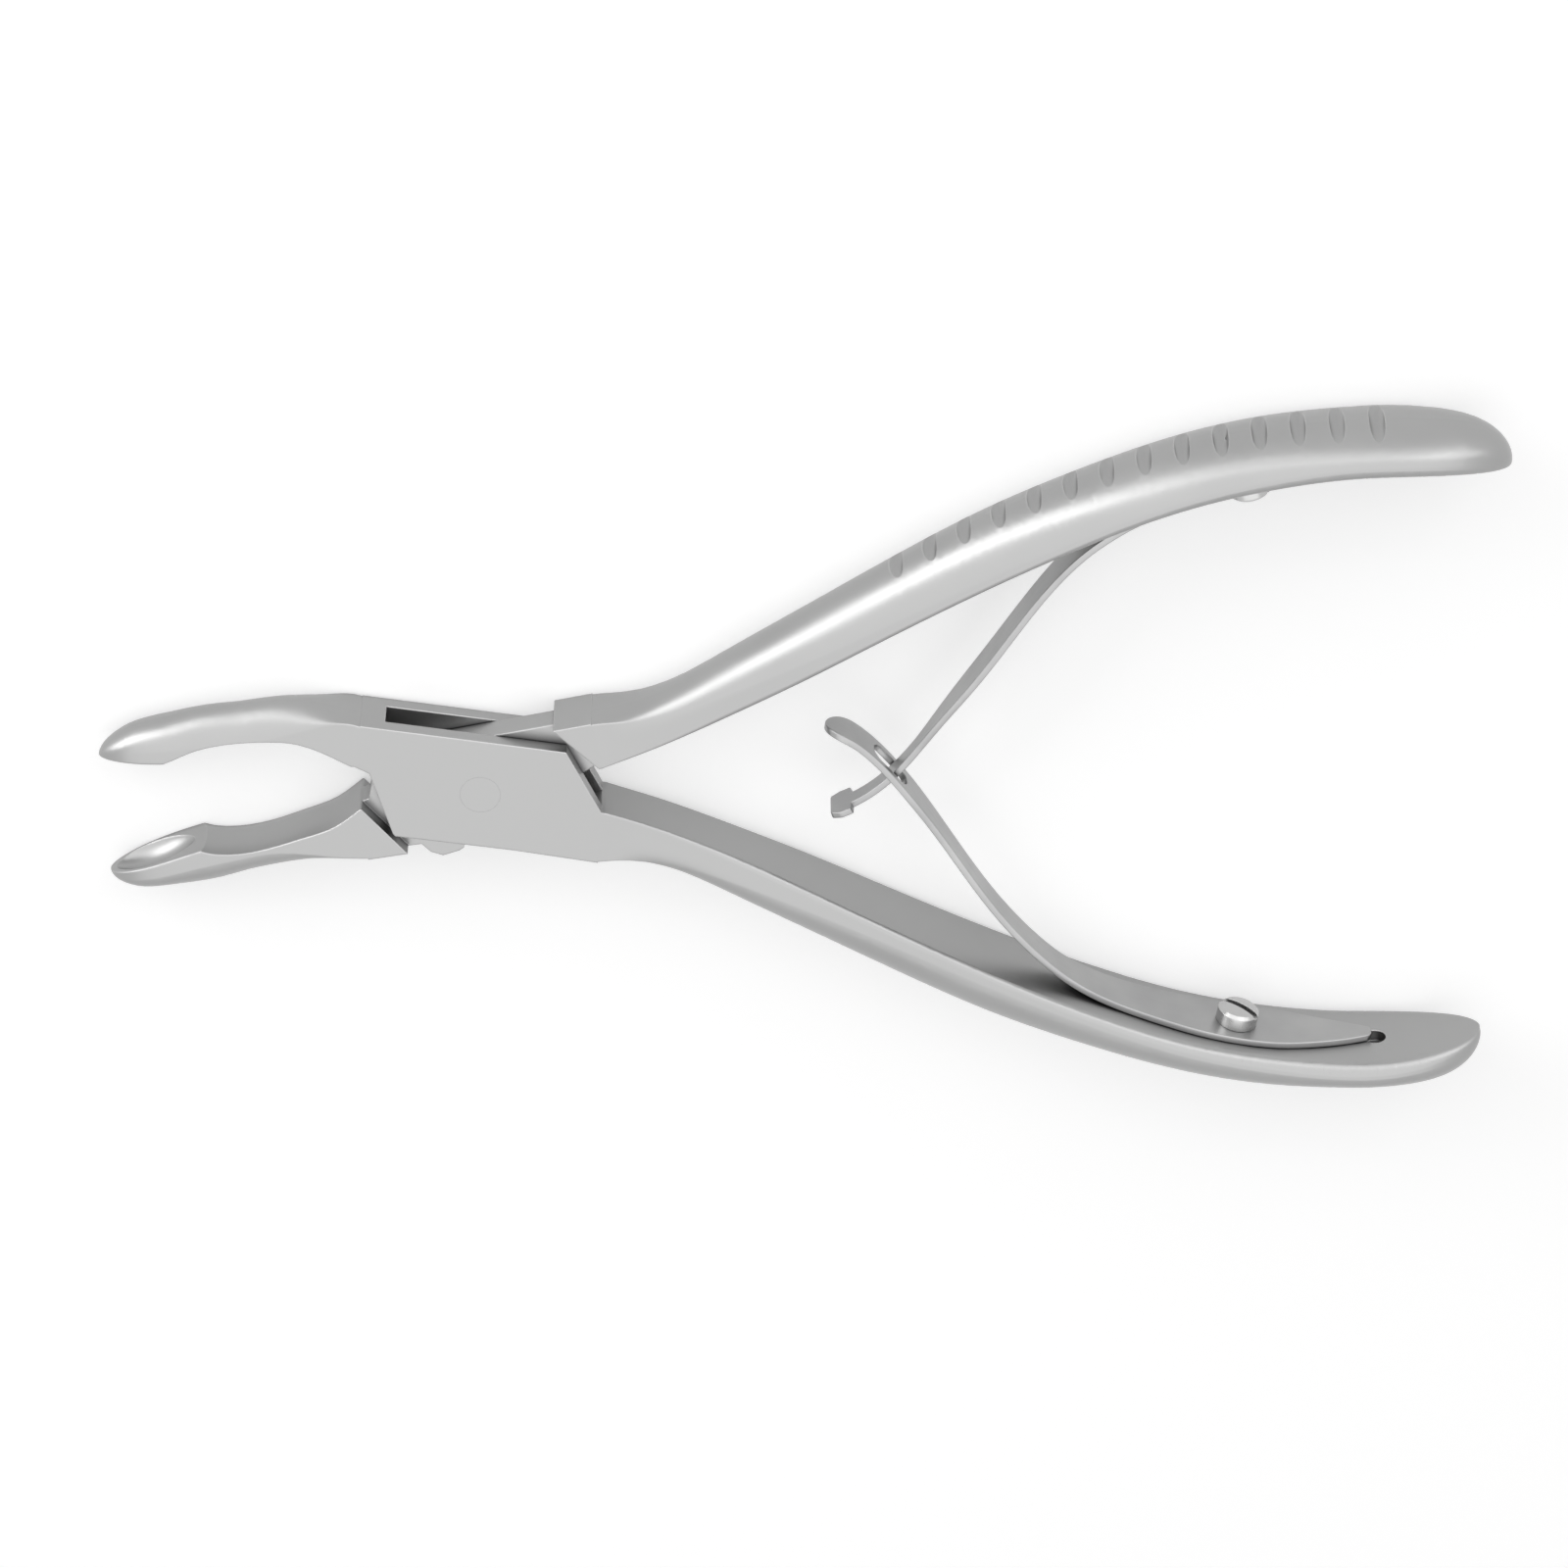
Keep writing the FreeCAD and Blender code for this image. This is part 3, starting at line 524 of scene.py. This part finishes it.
# %% [markdown]
# ### The flat blank
#
# In the blank, X is the way along the leaf and Y the way across. The widths are the CAD's
# stations, joined by the same smooth line, so the blank has no corners where the real
# one has none. The rounded ends are half ellipses.

# %% Draw the outlines of the two blanks
edge_break = 0.09
foot_widths = (1.5, 2.5, 4.6, 6.1, 6.4, 6.1, 5.4)


def rounded_end(line, from_x, to_x, width, count=9):
    """Stations of a half ellipse that closes a leaf between two places."""
    turns = np.linspace(0, np.pi / 2, count)[1:]
    return [(line.at_x(from_x) + (line.at_x(to_x) - line.at_x(from_x)) * np.sin(t), width * np.cos(t))
            for t in turns]


def smooth_widths(line, stations, count):
    """Stations (way along, width) of a smooth width curve through (x, width) pairs."""
    known = SmoothLine([(line.at_x(x), width) for x, width in stations])
    return [tuple(row) for row in known.value(np.linspace(known.at[0], known.at[-1], count))[0]]


def closed_outline(stations):
    """Both sides of a blank as one closed loop."""
    one_side = [(s, width / 2) for s, width in stations]
    other_side = [(s, -width / 2) for s, width in reversed(stations) if width > 1e-6]
    return one_side + other_side


def hole_outline(s, radius, stretch=0.0, count=40):
    """A round hole, or a slot if stretched along the leaf."""
    turns = np.linspace(0, 2 * np.pi, count, endpoint=False) + 0.01
    return [(s + np.sign(np.cos(t)) * stretch + radius * np.cos(t), radius * np.sin(t)) for t in turns]


stations_along = 60
blunt_tip_width = 0.8
spoon_width, spoon_nose_x, spoon_end_x = 3.9, 35.2, 32.75
neck_width = 1.9
screw_hole_radius = 1.35
lower_screw_x, upper_screw_x = 78.8, 80.2
fork_crossing_x = 40.28
fork_slot_shift, fork_slot_width, fork_slot_length = 0.8, 2.4, 5.2

foot_stations = [(leaf_tip_x - 0.25, foot_widths[0])] + list(zip(lying_xs, foot_widths))[1:]
lower_stations = [(lower_line.at_x(leaf_tip_x), blunt_tip_width)]
fork_stations = [(62.8, 4.25), (60.3, 3.8), (57.0, 3.5), (52.0, 3.3), (47.0, 3.3), (44.5, 3.6)]
fork_stations += [(42.5, spoon_width), (40.5, spoon_width), (spoon_nose_x, spoon_width)]
lower_stations += smooth_widths(lower_line, foot_stations + fork_stations, stations_along)
lower_stations += rounded_end(lower_line, spoon_nose_x, spoon_end_x, spoon_width)
lower_holes = [
    hole_outline(lower_line.at_x(lower_screw_x), screw_hole_radius),
    hole_outline(lower_line.at_x(fork_crossing_x) + fork_slot_shift, fork_slot_width / 2,
                 (fork_slot_length - fork_slot_width) / 2),
]

upper_stations = [(upper_line.at_x(leaf_tip_x), blunt_tip_width)]
hook_stations = [(69.3, 4.65), (66.8, 4.2), (62.5, 4.0), (57.0, 3.8), (52.0, 3.8), (49.0, 3.5)]
hook_stations += [(46.5, 2.8), (43.2, neck_width)]
neck_stations = [(x, neck_width) for x in (42.0, 40.0, 38.0, 36.0, 35.45)]
head_stations = [(35.4, 3.7), (35.3, 4.0), (34.2, 4.0), (33.3, 3.1), (33.2, 2.7)]
upper_stations += smooth_widths(upper_line, foot_stations + hook_stations, stations_along)
upper_stations += [(upper_line.at_x(x), width) for x, width in neck_stations + head_stations]
upper_holes = [hole_outline(upper_line.at_x(upper_screw_x), screw_hole_radius)]
print("outline points", len(closed_outline(lower_stations)), "and", len(closed_outline(upper_stations)))

# %% [markdown]
# ### Bend the blanks
#
# The blank's flat coordinates are kept as a UV map before bending. The brushed finish
# reads them, so its lines run along the strip round every bend, as on the real leaf,
# which was brushed before it was bent.

# %% Build a leaf from its blank
def flat_blank(name, outlines):
    """A plate of the leaf's thickness from closed outlines, bevelled all round, as a bmesh."""
    curve = bpy.data.curves.new(name, "CURVE")
    curve.dimensions = "2D"
    curve.fill_mode = "BOTH"
    curve.bevel_depth = edge_break
    curve.bevel_resolution = 2
    curve.extrude = leaf_thickness / 2 - edge_break
    curve.offset = -edge_break
    for outline in outlines:
        spline = curve.splines.new("POLY")
        spline.points.add(len(outline) - 1)
        for point, (x, y) in zip(spline.points, outline):
            point.co = (x, y, 0, 1)
        spline.use_cyclic_u = True
    holder = bpy.data.objects.new(name, curve)
    bpy.context.scene.collection.objects.link(holder)
    bpy.context.view_layer.update()
    mesh = bpy.data.meshes.new_from_object(holder.evaluated_get(bpy.context.evaluated_depsgraph_get()))
    blank = bmesh.new()
    blank.from_mesh(mesh)
    bpy.data.objects.remove(holder)
    bpy.data.curves.remove(curve)
    bpy.data.meshes.remove(mesh)
    bmesh.ops.remove_doubles(blank, verts=blank.verts, dist=0.002)
    return blank


def slice_across(blank, step):
    """Cuts the blank across its length, so that it has points to bend at."""
    low = min(v.co.x for v in blank.verts)
    high = max(v.co.x for v in blank.verts)
    for place in np.arange(low + step, high, step):
        parts = blank.verts[:] + blank.edges[:] + blank.faces[:]
        bmesh.ops.bisect_plane(blank, geom=parts, dist=0.0001, plane_co=(place, 0, 0), plane_no=(1, 0, 0))


def bend_to_line(blank, line, opening):
    """Moves each point of the blank to the leaf's line and turns the leaf open about the pivot."""
    flat = np.array([v.co for v in blank.verts])
    place, way = line.value(np.clip(flat[:, 0], line.at[0], line.at[-1]))
    across = np.stack([-way[:, 1], way[:, 0]], axis=1)
    plan = place + across * flat[:, 2:3]
    angle = np.radians(opening)
    turned = plan @ np.array([[np.cos(angle), np.sin(angle)], [-np.sin(angle), np.cos(angle)]])
    for vert, (x, y), height in zip(blank.verts, turned, flat[:, 1]):
        vert.co = (x * mm, y * mm, (pivot_height + height) * mm)


def leaf_spring(name, line, outlines, opening):
    """One leaf in one piece, from the pointed foot to the end of the free arm."""
    blank = flat_blank(name, outlines)
    slice_across(blank, 0.5)
    flat_map = blank.loops.layers.uv.new("strip")
    for face in blank.faces:
        face.smooth = True
        for loop in face.loops:
            loop[flat_map].uv = (loop.vert.co.x * mm, loop.vert.co.y * mm)
    bend_to_line(blank, line, opening)
    bmesh.ops.recalc_face_normals(blank, faces=blank.faces)
    mesh = bpy.data.meshes.new(name)
    blank.to_mesh(mesh)
    blank.free()
    mesh.set_sharp_from_angle(angle=np.radians(50))
    leaf = bpy.data.objects.new(name, mesh)
    bpy.context.scene.collection.objects.link(leaf)
    leaf.modifiers.new("even_shading", "WEIGHTED_NORMAL").keep_sharp = True
    return leaf


lower_outlines = [closed_outline(lower_stations)] + lower_holes
upper_outlines = [closed_outline(upper_stations)] + upper_holes
lower_leaf = leaf_spring("lower_leaf_spring", lower_line, lower_outlines, -half_opening)
upper_leaf = leaf_spring("upper_leaf_spring", upper_line, upper_outlines, half_opening)
for leaf in (lower_leaf, upper_leaf):
    print(leaf.name, len(leaf.data.vertices), "points,", len(leaf.data.polygons), "faces")

# %% [markdown]
# ### Finish of the leaves
#
# Spring steel strip is rolled and brushed along its length, so its gloss is drawn out
# across the strip. Fine lines along the UV map's long way give that look as bump.

# %% Spring steel
spring, tree, shader = steel("spring_steel")
flat_place = tree.nodes.new("ShaderNodeUVMap")
flat_place.uv_map = "strip"
line_place = add_node(tree, "ShaderNodeMapping", Scale=(260, 9000, 1))
tree.links.new(flat_place.outputs[0], line_place.inputs["Vector"])
roll_lines = noise(tree, line_place.outputs[0], 1.0, 3.0)
place = tree.nodes.new("ShaderNodeTexCoord").outputs["Object"]
handling = noise(tree, place, 140, 3.0)
edges, soft_normal = edge_share(tree, 0.1 * mm)
spring_dark = (0.34, 0.34, 0.342, 1)
spring_light = (0.40, 0.40, 0.398, 1)
tree.links.new(grey_mix(tree, spread(tree, handling, 0, 1, 0.3, 0.7), spring_dark, spring_light),
               shader.inputs["Base Color"])
tree.links.new(calculate(tree, "SUBTRACT", spread(tree, roll_lines, 0.28, 0.38, 0.3, 0.7),
                         calculate(tree, "MULTIPLY", edges, 0.10)), shader.inputs["Roughness"])
tree.links.new(bump(tree, roll_lines, 0.004 * mm, 0.4, soft_normal), shader.inputs["Normal"])

for leaf in (lower_leaf, upper_leaf):
    leaf.data.materials.append(spring)
print("spring steel on both leaves")

# %% [markdown]
# ### The leaves take the springs' place
#
# The foot of a leaf follows its handle. The free arm turns as the handles close, and
# between the two the strip bends. Here the CAD's spring pieces are hidden and each leaf's
# place is baked into its mesh. Two points on each leaf's line are worked out but not used.

# %% Hide the CAD's springs and bake the leaves in place
def opened(point, opening):
    """A point of a leaf's line in the opened model, in metres."""
    angle = np.radians(opening)
    x, y = point
    return ((x * np.cos(angle) - y * np.sin(angle)) * mm, (x * np.sin(angle) + y * np.cos(angle)) * mm,
            pivot_height * mm)


def on_line(line, x, opening):
    return opened(line.value(line.at_x(x))[0][0], opening)


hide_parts("lower_spring_foot", "lower_spring_arm")
on_line(lower_line, 65.5, -half_opening)
on_line(lower_line, 53.5, -half_opening)
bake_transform(lower_leaf)
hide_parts("upper_spring_foot", "upper_spring_arm")
on_line(upper_line, 72.0, half_opening)
on_line(upper_line, 59.5, half_opening)
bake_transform(upper_leaf)
print("the CAD's springs hidden, both leaves baked in place")

# %% [markdown]
# ## Screws
#
# A slotted cheese-head screw clamps each leaf. Screws are turned and polished bright, so
# they are the glossiest part. Their slots are painted darker: painted shade.

# %% Screw steel
bright, tree, shader = steel("screw_steel")
place = tree.nodes.new("ShaderNodeTexCoord").outputs["Object"]
handling = noise(tree, place, 700, 3.0)
edges, soft_normal = edge_share(tree, 0.12 * mm)
# Ambient occlusion paints the slot darker: painted shade.
crevice = add_node(tree, "ShaderNodeAmbientOcclusion", {"samples": 6}, Distance=0.8 * mm)
painted_slot_shade = (0.22, 0.22, 0.22, 1)
polished = (0.48, 0.48, 0.478, 1)
tree.links.new(grey_mix(tree, spread(tree, crevice.outputs["AO"], 0, 1, 0.3, 0.85), painted_slot_shade, polished),
               shader.inputs["Base Color"])
tree.links.new(spread(tree, handling, 0.20, 0.30, 0.3, 0.7), shader.inputs["Roughness"])
tree.links.new(bump(tree, handling, 0.004 * mm, 0.2, soft_normal), shader.inputs["Normal"])
for name in ("lower_spring_screw", "upper_spring_screw"):
    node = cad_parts[name]
    node.data.materials.clear()
    node.data.materials.append(bright)
print("screws finished")
